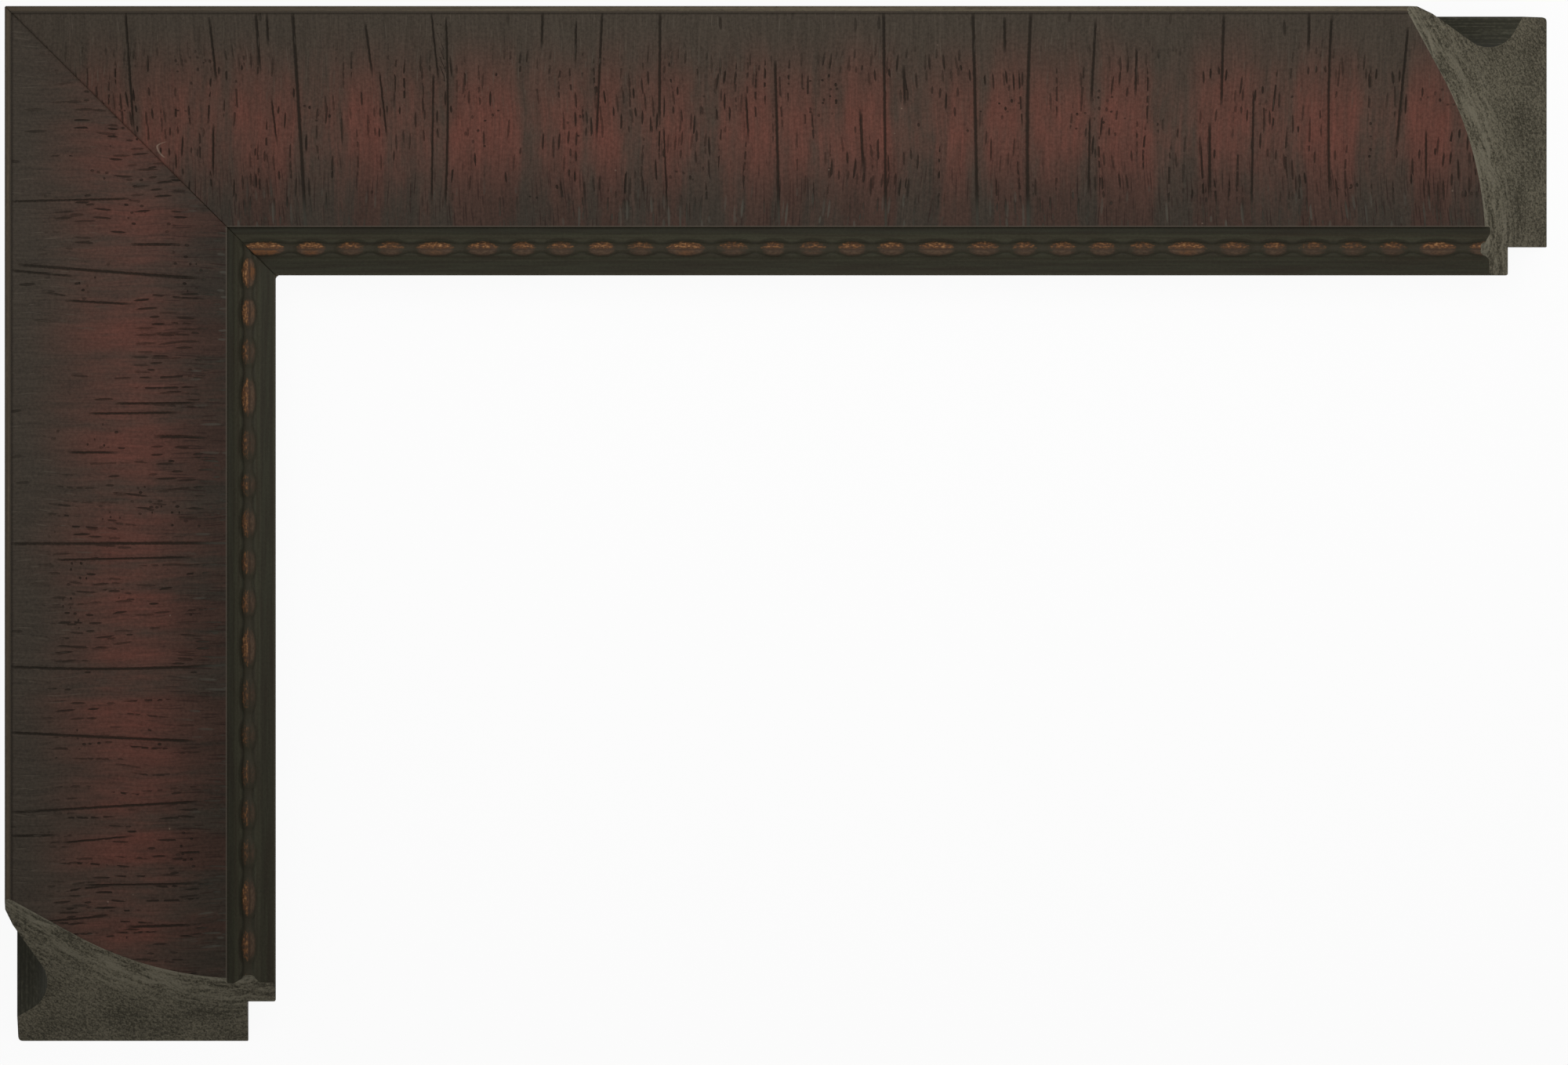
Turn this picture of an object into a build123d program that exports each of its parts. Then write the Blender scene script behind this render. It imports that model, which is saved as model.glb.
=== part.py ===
from build123d import *

import os
from itertools import cycle
from math import asin, cos, degrees, radians, sin, tan

# A mitred corner of scooped picture frame moulding, lying on its back.
# Sizes are in millimetres and angles in degrees. A rail is drawn with its outer
# corner at the origin: it runs along +X, its width goes along -Y and its face looks up.
# Section points are (distance in from the outer edge, height above the back).

# Overall sizes
RAIL_WIDTH = 60.0
RAIL_HEIGHT = 33.0
TOP_LENGTH = 347.0
SIDE_LENGTH = 233.0
END_CUT_ANGLE = 45.0

# Rabbet that takes the glass and the picture, and the lip in front of it
RABBET_WIDTH = 6.5
RABBET_DEPTH = 9.2
LIP_THICKNESS = 4.6
LIP_FLAT = 3.3
SIGHT_RADIUS = 0.5

# Raised bed that carries the beads, and the quirk between it and the scoop
BED_WIDTH = 5.2
BED_RISE = 0.5
BED_BEVEL = 0.5
QUIRK_WIDTH = 2.3
QUIRK_DEPTH = 1.0

# Scoop: straight below the nose, then an arc that runs out nearly level
SCOOP_SLOPE = 30.0
SCOOP_STRAIGHT = 14.0

# Nose along the outer edge
NOSE_WIDTH = 1.2
NOSE_RADIUS = 0.8
NOSE_FACE = 2.6
NOSE_HEEL = 3.5
HEEL_RADIUS = 1.0

# Cove in the outer side, the sill that slopes out of it, and the flange below
SIDE_INSET = 1.5
COVE_RADIUS = 7.1
COVE_SILL = 1.1
FLANGE_HEIGHT = 5.8
FLANGE_RADIUS = 1.0

# Beads: one turn of the embossing wheel leaves these lengths in a row
BEAD_LENGTHS = (9.5, 8.2, 6.4, 7.3, 7.1, 7.1)
BEAD_GAP = 1.8
BEAD_WIDTH = 3.5
BEAD_RISE = 1.75
BEAD_ROUNDING = 1.85

# Length of the bead row that the mitre takes off before the first whole turn shows
TOP_BEAD_LEAD = 19.2
SIDE_BEAD_LEAD = 27.8

# Places that follow from the sizes
LIP_TOP = RABBET_DEPTH + LIP_THICKNESS
RABBET_WALL = RAIL_WIDTH - RABBET_WIDTH
BED_FRONT = RAIL_WIDTH - LIP_FLAT
BED_BACK = BED_FRONT - BED_WIDTH
BED_TOP = LIP_TOP + BED_RISE
BEAD_AXIS = (BED_FRONT + BED_BACK) / 2
SCOOP_EDGE = BED_BACK - QUIRK_WIDTH

# A square corner: the rails meet on the upright plane that halves it
MITRE = Plane(origin=(0, 0, 0), z_dir=(1, 1, 0))


def rounded(face, point, radius):
    """Round the corner of a flat face that lies nearest to a section point."""
    corner = face.vertices().sort_by_distance(point)[0]
    return fillet(corner, radius)


def section():
    """Face of the moulding's section: X is the width, Y the height."""
    nose_bottom = RAIL_HEIGHT - NOSE_FACE
    heel = (SIDE_INSET, nose_bottom - NOSE_HEEL)
    cove_height = FLANGE_HEIGHT + COVE_SILL + COVE_RADIUS
    sill_angle = degrees(asin(COVE_RADIUS / (cove_height - FLANGE_HEIGHT)))
    heel_angle = degrees(asin(COVE_RADIUS / (heel[1] - cove_height)))
    scoop_fall = SCOOP_STRAIGHT * tan(radians(SCOOP_SLOPE))
    scoop_start = (NOSE_WIDTH + SCOOP_STRAIGHT, RAIL_HEIGHT - scoop_fall)
    scoop_way = (cos(radians(SCOOP_SLOPE)), -sin(radians(SCOOP_SLOPE)))
    scoop_end = (SCOOP_EDGE, LIP_TOP + QUIRK_DEPTH)

    cove = CenterArc(
        (SIDE_INSET, cove_height), COVE_RADIUS, -sill_angle, sill_angle + heel_angle
    )
    back_and_lip = Polyline(
        cove @ 0,
        (SIDE_INSET, FLANGE_HEIGHT),
        (SIDE_INSET, 0),
        (RABBET_WALL, 0),
        (RABBET_WALL, RABBET_DEPTH),
        (RAIL_WIDTH, RABBET_DEPTH),
        (RAIL_WIDTH, LIP_TOP),
        (BED_FRONT, LIP_TOP),
        (BED_FRONT - BED_BEVEL, BED_TOP),
        (BED_BACK + BED_BEVEL, BED_TOP),
        (BED_BACK, LIP_TOP),
        (SCOOP_EDGE, LIP_TOP),
        scoop_end,
    )
    scoop = TangentArc(scoop_start, scoop_end, tangent=scoop_way)
    nose = Polyline(
        scoop_start,
        (NOSE_WIDTH, RAIL_HEIGHT),
        (0, RAIL_HEIGHT),
        (0, nose_bottom),
        heel,
        cove @ 1,
    )
    face = make_face([cove, back_and_lip, scoop, nose])
    face = rounded(face, (0, RAIL_HEIGHT), NOSE_RADIUS)
    face = rounded(face, (0, nose_bottom), HEEL_RADIUS)
    face = rounded(face, (SIDE_INSET, 0), FLANGE_RADIUS)
    face = rounded(face, (RAIL_WIDTH, RABBET_DEPTH), SIGHT_RADIUS)
    return rounded(face, (RAIL_WIDTH, LIP_TOP), SIGHT_RADIUS)


def bead(length):
    """One bead from x = 0: pointed in plan, arched in side view and round across."""
    half = BEAD_WIDTH / 2
    tip = (length, 0)
    outline = [
        ThreePointArc((0, 0), (length / 2, half), tip),
        ThreePointArc(tip, (length / 2, -half), (0, 0)),
    ]
    arch = [ThreePointArc((0, 0), (length / 2, BEAD_RISE), tip), Line(tip, (0, 0))]
    plan = extrude(make_face(outline), BEAD_RISE, dir=(0, 0, 1))
    side = extrude(Plane.XZ * make_face(arch), BEAD_WIDTH, both=True)
    bar = Pos(length / 2, 0, 0) * Rot(0, 90, 0) * Cylinder(BEAD_ROUNDING, length)
    return plan & side & bar


def bead_row(length, lead):
    """Beads along a rail, in the order that the wheel leaves them, lying on their bed."""
    beads = {size: bead(size) for size in BEAD_LENGTHS}
    row = []
    place = BEAD_AXIS - lead
    for size in cycle(BEAD_LENGTHS):
        if place > length:
            return row
        row.append(Pos(place, -BEAD_AXIS, BED_TOP) * beads[size])
        place += size + BEAD_GAP


def rail(length, bead_lead):
    """One rail with its beads, mitred at the corner and cut back at its free end."""
    across = Plane(origin=(length, 0, 0), x_dir=(0, -1, 0), z_dir=(-1, 0, 0))
    stick = extrude(across * section(), length)
    stick += bead_row(length, bead_lead)
    stick = split(stick, bisect_by=MITRE, keep=Keep.TOP)
    lean = radians(END_CUT_ANGLE)
    end_cut = Plane(origin=(length, 0, 0), z_dir=(cos(lean), 0, sin(lean)))
    return split(stick, bisect_by=end_cut, keep=Keep.BOTTOM)


# The side rail mirrors a shorter rail in the mitre, and the origin is under the box's middle
middle = Pos(-TOP_LENGTH / 2, SIDE_LENGTH / 2, 0)
pieces = {
    "top_rail": middle * rail(TOP_LENGTH, TOP_BEAD_LEAD),
    "side_rail": middle * mirror(rail(SIDE_LENGTH, SIDE_BEAD_LEAD), about=MITRE),
}

os.makedirs("parts", exist_ok=True)
for name, piece in pieces.items():
    export_step(piece, f"parts/{name}.step")
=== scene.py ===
"""Dresses a mitred corner of picture frame moulding: two rails, their finishes and a studio.

A rail is worked out in millimetres in its own terms: along the rail from the outer corner,
in from the outer edge (width) and up from the back (height). Frame places are in metres.
"""

import logging
import math
from collections.abc import Callable
from dataclasses import dataclass, field
from enum import Enum, IntEnum
from typing import Any, Optional, Union

import bpy
import numpy as np
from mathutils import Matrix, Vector

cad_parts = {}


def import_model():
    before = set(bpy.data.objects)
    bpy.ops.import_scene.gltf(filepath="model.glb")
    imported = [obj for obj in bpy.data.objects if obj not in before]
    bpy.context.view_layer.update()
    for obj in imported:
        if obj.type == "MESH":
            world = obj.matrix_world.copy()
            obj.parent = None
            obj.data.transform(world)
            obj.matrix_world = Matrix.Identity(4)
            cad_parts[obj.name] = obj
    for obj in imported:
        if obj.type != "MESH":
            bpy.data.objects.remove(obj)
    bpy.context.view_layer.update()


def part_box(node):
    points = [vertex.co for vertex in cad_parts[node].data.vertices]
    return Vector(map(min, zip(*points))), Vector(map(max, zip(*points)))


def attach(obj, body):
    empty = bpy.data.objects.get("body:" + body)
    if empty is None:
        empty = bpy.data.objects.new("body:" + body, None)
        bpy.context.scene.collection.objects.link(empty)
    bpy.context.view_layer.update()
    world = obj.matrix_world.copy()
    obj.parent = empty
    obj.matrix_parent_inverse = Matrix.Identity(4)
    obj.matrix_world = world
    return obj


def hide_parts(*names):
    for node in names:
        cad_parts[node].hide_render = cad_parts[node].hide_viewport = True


MM = 0.001
RAIL_MAP = "rail_mm"
BAKE_MAP = "OFBake"
SPLIT_ATTRIBUTES = ("even_splits", "odd_splits")
BEAD_ATTRIBUTE = "bead"
FIGURE_ATTRIBUTE = "figure"

log = logging.getLogger("moulding")

Colour = tuple[float, float, float, float]
Term = Union["Wire", float, Colour, tuple[float, float, float]]


class Zone(IntEnum):
    """Parts of a rail's surface, in the order of its material slots."""

    VENEER = 0
    LIP = 1
    BARE = 2
    SIDE = 3
    NOSE = 4
    CUT = 5


class Course(Enum):
    """Way that a rail runs from the outer corner, as the photograph's axis."""

    ACROSS = 0
    DOWN = 1


def shade(red: float, green: float, blue: float) -> Colour:
    """Gives the linear colour of three display bytes.

    Args:
        red: Red from 0 to 255.
        green: Green from 0 to 255.
        blue: Blue from 0 to 255.

    Returns:
        Linear red, green and blue with an alpha of 1.
    """
    part = np.array((red, green, blue)) / 255.0
    light = np.where(part <= 0.04045, part / 12.92, ((part + 0.055) / 1.055) ** 2.4)
    return (*light.tolist(), 1.0)


def eased(corners: np.ndarray, radii: np.ndarray, steps: int) -> np.ndarray:
    """Rounds the inner corners of an open line.

    A corner becomes the parabola corner + (1 - t)^2 back + t^2 ahead, where back and ahead
    reach to the points at which a circle of the radius would touch the two runs.

    Args:
        corners: Points of the line, the two ends included.
        radii: Radius for each inner corner.
        steps: Points for each corner.

    Returns:
        Points of all rounded corners in order, without the two ends.
    """
    here = corners[1:-1]
    back = corners[:-2] - here
    ahead = corners[2:] - here
    back = back / np.linalg.norm(back, axis=1, keepdims=True)
    ahead = ahead / np.linalg.norm(ahead, axis=1, keepdims=True)
    half = 0.5 * np.arccos(np.clip((back * ahead).sum(axis=1), -1.0, 1.0))
    reach = (radii / np.tan(half))[:, None, None]
    t = np.linspace(0.0, 1.0, steps)[None, :, None]
    curve = here[:, None] + reach * ((1 - t) ** 2 * back[:, None] + t**2 * ahead[:, None])
    return curve.reshape(-1, 2)


def ramp(value: np.ndarray, low: float, high: float) -> np.ndarray:
    """Smooth step from 0 at low to 1 at high: t^2 (3 - 2 t)."""
    t = np.clip((value - low) / (high - low), 0.0, 1.0)
    return t * t * (3 - 2 * t)


@dataclass(frozen=True)
class Photograph:
    """The picture's frame: a long lens that looks straight down on the back's plane."""

    width: int = 2000
    height: int = 1359
    mm_per_px: float = 0.1772
    distance: float = 20000.0
    corner: tuple[float, float] = (15.0, 13.8)
    sensor: float = 36.0

    def middle(self, axis: int) -> float:
        """Pixel of the picture's middle on an axis."""
        return (self.width, self.height)[axis] / 2

    def along(self, pixel: float, height: np.ndarray, axis: int) -> np.ndarray:
        """Distance along a rail at which a pixel line meets points of some height.

        Args:
            pixel: Pixel column or row.
            height: Heights above the back, in millimetres.
            axis: 0 for a rail that runs across the picture, 1 for one that runs down.

        Returns:
            Millimetres from the outer corner for each height.
        """
        nearer = 1 + height / self.mm_per_px / self.distance
        true = self.middle(axis) + (pixel - self.middle(axis)) / nearer
        return (true - self.corner[axis]) * self.mm_per_px

    def pixel(self, along: np.ndarray, height: np.ndarray, axis: int) -> np.ndarray:
        """Pixel line on which points of a rail show, the other way round from along."""
        nearer = 1 + height / self.mm_per_px / self.distance
        true = self.corner[axis] + along / self.mm_per_px
        return self.middle(axis) + (true - self.middle(axis)) * nearer

    def camera(self, corner: Vector) -> bpy.types.Object:
        """Makes the scene's camera.

        Args:
            corner: Outer corner of the moulding on the back's plane, in the frame.

        Returns:
            The camera, set as the scene's own.
        """
        data = bpy.data.cameras.new("camera")
        data.sensor_width = self.sensor
        data.lens = self.sensor * self.distance / self.width
        across = (self.middle(0) - self.corner[0]) * self.mm_per_px * MM
        down = (self.middle(1) - self.corner[1]) * self.mm_per_px * MM
        camera = bpy.data.objects.new("camera", data)
        camera.location = (corner.x + across, corner.y - down, self.distance * self.mm_per_px * MM)
        bpy.context.scene.collection.objects.link(camera)
        bpy.context.scene.camera = camera
        return camera


def arithmetic(operation: str, number_first: bool = False) -> Callable[["Wire", Term], "Wire"]:
    """Makes a method of a wire that adds a Math node on it and another term.

    Args:
        operation: Kind of the node.
        number_first: Whether the other term comes before the wire.

    Returns:
        The method, which gives the node's result.
    """

    def method(wire: "Wire", other: Term) -> "Wire":
        """Adds the node."""
        return wire.math(operation, *((other, wire) if number_first else (wire, other)))

    return method


class Wire:
    """A value in a shader, whose arithmetic adds Math nodes.

    below gives 1 where the value is under a limit, else 0, and most the larger of two values.
    """

    def __init__(self, board: "Board", socket: Optional[bpy.types.NodeSocket]) -> None:
        """Keeps the board and the socket that gives the value."""
        self.board = board
        self.socket = socket

    def math(self, operation: str, *terms: Term) -> "Wire":
        """Adds a Math node on some terms."""
        return self.board.node("ShaderNodeMath", {"operation": operation}, dict(enumerate(terms)))

    __add__ = arithmetic("ADD")
    __radd__ = arithmetic("ADD", number_first=True)
    __sub__ = arithmetic("SUBTRACT")
    __rsub__ = arithmetic("SUBTRACT", number_first=True)
    __mul__ = arithmetic("MULTIPLY")
    __rmul__ = arithmetic("MULTIPLY", number_first=True)
    __truediv__ = arithmetic("DIVIDE")
    __pow__ = arithmetic("POWER")
    below = arithmetic("LESS_THAN")
    most = arithmetic("MAXIMUM")

    def __abs__(self) -> "Wire":
        """Size without sign."""
        return self.math("ABSOLUTE", self)

    def ramp(self, low: Term, high: Term) -> "Wire":
        """Smooth step from 0 at low to 1 at high."""
        return self.board.node(
            "ShaderNodeMapRange",
            {"interpolation_type": "SMOOTHSTEP"},
            {"Value": self, "From Min": low, "From Max": high},
        )


@dataclass(frozen=True)
class Scatter:
    """Short marks that lie across the rail, one at most in each cell of a plane.

    Attributes:
        cell: Size of a cell along and across, in millimetres.
        half: Half width and half length of the longest mark, in millimetres.
        share: Part of the cells that carry a mark where marks are thick.
        cluster: Waves in a millimetre of the slow noise that gathers the marks.
        bounds: Levels of that noise where marks start and where they are thick.
        seed: Shift that tells one scatter from another.
    """

    cell: tuple[float, float]
    half: tuple[float, float]
    share: float
    cluster: float
    bounds: tuple[float, float]
    seed: float


class Board:
    """Node tree of a material or of the sky."""

    def __init__(self, owner: Union[bpy.types.Material, bpy.types.World]) -> None:
        """Empties the owner's tree."""
        self.owner = owner
        owner.use_nodes = True
        self.tree = owner.node_tree
        self.tree.nodes.clear()

    def node(
        self,
        kind: str,
        settings: dict[str, Any],
        sockets: dict[Union[str, int], Term],
        output: Union[str, int] = 0,
    ) -> Wire:
        """Adds one node.

        Args:
            kind: Node type.
            settings: Properties, set before the sockets.
            sockets: Values or wires for input sockets, by name or number.
            output: Output socket to give back.

        Returns:
            Wire from that output, or from nothing where the node has none.
        """
        made = self.tree.nodes.new(kind)
        for name, value in settings.items():
            setattr(made, name, value)
        for name, value in sockets.items():
            if isinstance(value, Wire):
                self.tree.links.new(value.socket, made.inputs[name])
            else:
                made.inputs[name].default_value = value
        return Wire(self, made.outputs[output] if made.outputs else None)

    def place(self) -> Wire:
        """Position on the rail in millimetres: along it and over its section."""
        return self.node("ShaderNodeUVMap", {"uv_map": RAIL_MAP}, {}, "UV")

    def attribute(self, name: str) -> Wire:
        """Vector that the mesh carries under a name."""
        return self.node("ShaderNodeAttribute", {"attribute_name": name}, {}, "Vector")

    def parts(self, vector: Wire) -> tuple[Wire, Wire, Wire]:
        """Splits a vector into its three numbers."""
        first = self.node("ShaderNodeSeparateXYZ", {}, {0: vector})
        outputs = first.socket.node.outputs
        return first, Wire(self, outputs[1]), Wire(self, outputs[2])

    def vector(self, x: Term, y: Term, z: Term = 0.0) -> Wire:
        """Joins three numbers into a vector."""
        return self.node("ShaderNodeCombineXYZ", {}, {0: x, 1: y, 2: z})

    def noise(self, place: tuple[Term, ...], detail: float = 2.0, rough: float = 0.5) -> Wire:
        """Noise of about one wave per unit of a place, given by two or three numbers."""
        spot = self.vector(*place)
        return self.node(
            "ShaderNodeTexNoise",
            {"noise_dimensions": "3D"},
            {"Vector": spot, "Scale": 1.0, "Detail": detail, "Roughness": rough},
            "Fac",
        )

    def blend(self, share: Term, first: Term, second: Term) -> Wire:
        """Mixes two colours: the first at a share of 0 and the second at 1."""
        return self.node(
            "ShaderNodeMix", {"data_type": "RGBA"}, {0: share, 6: first, 7: second}, 2
        )

    def tint(self, colour: Term, gain: Wire) -> Wire:
        """Multiplies a colour by a number."""
        return self.node(
            "ShaderNodeVectorMath", {"operation": "SCALE"}, {0: colour, "Scale": gain}
        )

    def dashes(self, along: Wire, across: Wire, marks: Scatter) -> Wire:
        """Scatters short marks that lie across the rail.

        The plane is cut into cells with one point each. A mark is the oval
        (along / half width)^2 + (across / half length)^2 < 1 about its point, and only
        points with a low random number, in places where slow noise is high, carry one.

        Args:
            along: Millimetres along the rail.
            across: Millimetres over the section.
            marks: Sizes and spread of the marks.

        Returns:
            From about a half to 1 inside a mark and 0 outside.
        """
        cell, half, seed = marks.cell, marks.half, marks.seed
        spot = self.vector(along / cell[0] + seed, across / cell[1] + seed)
        point = self.node(
            "ShaderNodeTexVoronoi",
            {"voronoi_dimensions": "2D", "feature": "F1"},
            {"Vector": spot, "Scale": 1.0, "Randomness": 1.0},
            "Position",
        )
        random = Wire(self, point.socket.node.outputs["Color"])
        pick, size, lean = self.parts(random)
        gap = self.node("ShaderNodeVectorMath", {"operation": "SUBTRACT"}, {0: spot, 1: point})
        aside, ahead, _ = self.parts(gap)
        home, far, _ = self.parts(point)
        wave = (cell[0] * marks.cluster, cell[1] * marks.cluster)
        slow = self.noise((home * wave[0], far * wave[1], seed), 1.0)
        aside = aside * cell[0] + ahead * cell[1] * (lean - 0.5) * 0.14
        ahead = ahead * cell[1] / (size * 0.75 + 0.25)
        reach = (aside / half[0]) ** 2.0 + (ahead / half[1]) ** 2.0
        limit = slow.ramp(*marks.bounds) * marks.share + 0.0001
        shown = pick.below(limit) * (1 - pick / limit * 0.55)
        return (1 - reach.ramp(0.35, 1.0)) * shown

    def done(
        self, colour: Term, rough: Term, metal: Term, height: Wire, gloss: float
    ) -> bpy.types.Material:
        """Closes the material with one surface shader.

        Args:
            colour: Base colour.
            rough: Roughness.
            metal: Metallic share.
            height: Relief in millimetres.
            gloss: Specular level, the same all over.

        Returns:
            The finished material.
        """
        bump = self.node(
            "ShaderNodeBump", {}, {"Strength": 1.0, "Distance": MM, "Height": height}
        )
        surface = self.node(
            "ShaderNodeBsdfPrincipled",
            {},
            {
                "Base Color": colour,
                "Roughness": rough,
                "Metallic": metal,
                "Normal": bump,
                "Specular IOR Level": gloss,
            },
        )
        self.node("ShaderNodeOutputMaterial", {}, {"Surface": surface})
        return self.owner


@dataclass(frozen=True)
class VeneerFinish:
    """Figured veneer laid across the scoop: red heart, grey edges, open pores and splits."""

    name: str
    scoop: float
    seed: float
    tone: float
    warmth: float
    lint: tuple[float, float]
    grey: Colour = shade(66, 59, 51)
    red: Colour = shade(99, 61, 52)
    brown: Colour = shade(54, 48, 41)
    umber: Colour = shade(60, 45, 38)
    pore: Colour = shade(32, 28, 23)
    pore_sheen: Colour = shade(76, 74, 66)
    vein: Colour = shade(40, 27, 23)
    hair: Colour = shade(88, 80, 70)
    dust: Colour = shade(126, 108, 94)
    rim: Colour = shade(80, 73, 64)
    gloss: float = 0.06
    dots: Scatter = Scatter((1.5, 2.0), (0.3, 0.6), 0.5, 0.075, (0.6, 0.7), 3.7)
    ticks: Scatter = Scatter((1.7, 5.0), (0.25, 3.2), 0.85, 0.06, (0.42, 0.64), 9.2)
    lines: Scatter = Scatter((2.6, 17.0), (0.24, 9.5), 0.9, 0.04, (0.36, 0.6), 14.6)
    smears: Scatter = Scatter((7.0, 11.0), (0.36, 4.0), 0.7, 0.03, (0.35, 0.6), 5.1)
    veins: Scatter = Scatter((0.9, 8.0), (0.17, 4.5), 0.8, 0.07, (0.3, 0.55), 17.4)
    pore_sheen_marks: Scatter = Scatter((1.9, 7.0), (0.32, 3.4), 0.7, 0.06, (0.4, 0.64), 7.9)
    hairs: Scatter = Scatter((1.5, 7.0), (0.15, 3.0), 0.6, 0.05, (0.38, 0.64), 11.3)
    specks: Scatter = Scatter((17.0, 17.0), (0.24, 0.32), 0.6, 0.05, (0.4, 0.66), 1.3)

    def make(self) -> bpy.types.Material:
        """Builds the veneer.

        The lint is a curl: with a off its place across, it lies a^2 by a bend along the rail,
        and the bend is sharper on the nose's side.

        Returns:
            Material for the scooped face.
        """
        board = Board(bpy.data.materials.new(self.name))
        along, across, _ = board.parts(board.place())
        reach = across / self.scoop
        shifted = along + self.seed
        wander = board.noise((shifted * 0.035, across * 0.045), 1.0) - 0.5
        grain = shifted + wander * 3.0

        fibre = board.noise((grain * 1.9, across * 0.1), 3.0, 0.7)
        strand = board.noise((grain * 0.45, across * 0.035, 1.0), 3.0, 0.7)
        cloud = board.noise((grain * 0.3, across * 0.14, 8.0), 3.0, 0.6)
        speckle = board.noise((shifted * 1.5, across * 1.2, 5.0), 2.0, 0.7)
        drift = board.noise((grain * 0.06, 0.0, 4.0), 1.0) - 0.5
        figure, _, _ = board.parts(board.attribute(FIGURE_ATTRIBUTE))

        level = reach + drift * 0.3
        window = level.ramp(0.03, 0.56) * (1 - level.ramp(0.62, 1.0) * 0.5)
        heat = figure * 0.8 + (strand - 0.5) * 0.7 + (fibre - 0.5) * 0.25 + (cloud - 0.5) * 0.6
        heat = (heat + self.warmth).ramp(-0.15, 1.15)
        colour = board.blend(heat * window, self.grey, self.red)
        inner = reach.ramp(0.55, 0.98) * (1.2 - strand * 0.6)
        deep = board.blend(heat.ramp(0.3, 0.8), self.brown, self.umber)
        colour = board.blend(inner, colour, deep)
        tone = (fibre * 0.85 + strand * 0.46 + speckle * 1.0 - 0.155) * self.tone
        colour = board.tint(colour, tone)

        heart = reach.ramp(0.08, 0.3)
        dots = board.dashes(grain, across, self.dots)
        ticks = board.dashes(grain, across, self.ticks)
        broken = board.noise((grain * 0.5, across * 0.42, 7.0), 1.0)
        lines = board.dashes(grain, across, self.lines) * broken.ramp(0.44, 0.52)
        smears = board.dashes(grain, across, self.smears)
        pores = (dots * heart).most(ticks * heart).most(lines * heart)
        pores = pores.most(smears * (1 - heart) * 0.7)
        veins = board.dashes(grain, across, self.veins)
        colour = board.blend(veins * reach.ramp(0.55, 0.85) * 0.75, colour, self.vein)

        ragged = board.noise((along * 0.8, across * 0.9, 2.0), 2.0) - 0.5
        dark = pores
        for name in SPLIT_ATTRIBUTES:
            offset, strength, half = board.parts(board.attribute(name))
            gap = 1 - abs(offset + ragged * 0.3).ramp(half * 0.35, half * 1.5)
            dark = dark.most(gap * strength)

        # Painted reflection: near the inner edge the pores and short marks are pale, as light
        # glints in them.
        edge = reach.ramp(0.82, 0.95)
        hollow = board.blend(edge * 0.5, self.pore, self.pore_sheen)
        colour = board.blend(dark * 0.86, colour, hollow)
        pore_sheen_marks = board.dashes(grain, across, self.pore_sheen_marks)
        colour = board.blend(pore_sheen_marks * reach.ramp(0.74, 0.94) * 0.65, colour, self.pore_sheen)
        hairs = board.dashes(grain, across, self.hairs)
        colour = board.blend(hairs * (1 - reach.ramp(0.3, 0.62)) * 0.42, colour, self.hair)
        specks = board.dashes(along, across, self.specks)
        colour = board.blend(specks * 0.6, colour, self.dust)

        off = across - self.lint[1]
        curl = off * off * (1.69 - off.ramp(-0.1, 0.1) * 1.45)
        lint = (1 - abs(along - self.lint[0] - curl).ramp(0.08, 0.32)) * off.ramp(-1.2, -0.9)
        lint = lint * (1 - off.ramp(2.4, 2.7))
        colour = board.blend(lint * 0.8, colour, self.dust)

        # Painted shade: a dark line in the groove beside the nose, where shade falls.
        groove = 1 - across.ramp(0.1, 0.7)
        colour = board.blend(groove * 0.7, colour, self.pore)
        # Painted highlight: a light line along the inner arris, where light catches it.
        rim = across.ramp(self.scoop - 1.2, self.scoop - 0.95)
        colour = board.blend(rim * 0.8, colour, self.rim)

        rough = 0.52 + (fibre - 0.5) * 0.2 + dark * 0.25
        height = (fibre - 0.5) * 0.03 - dark * (1 - edge * 0.7) * 0.2
        return board.done(colour, rough, 0.0, height, self.gloss)


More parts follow.
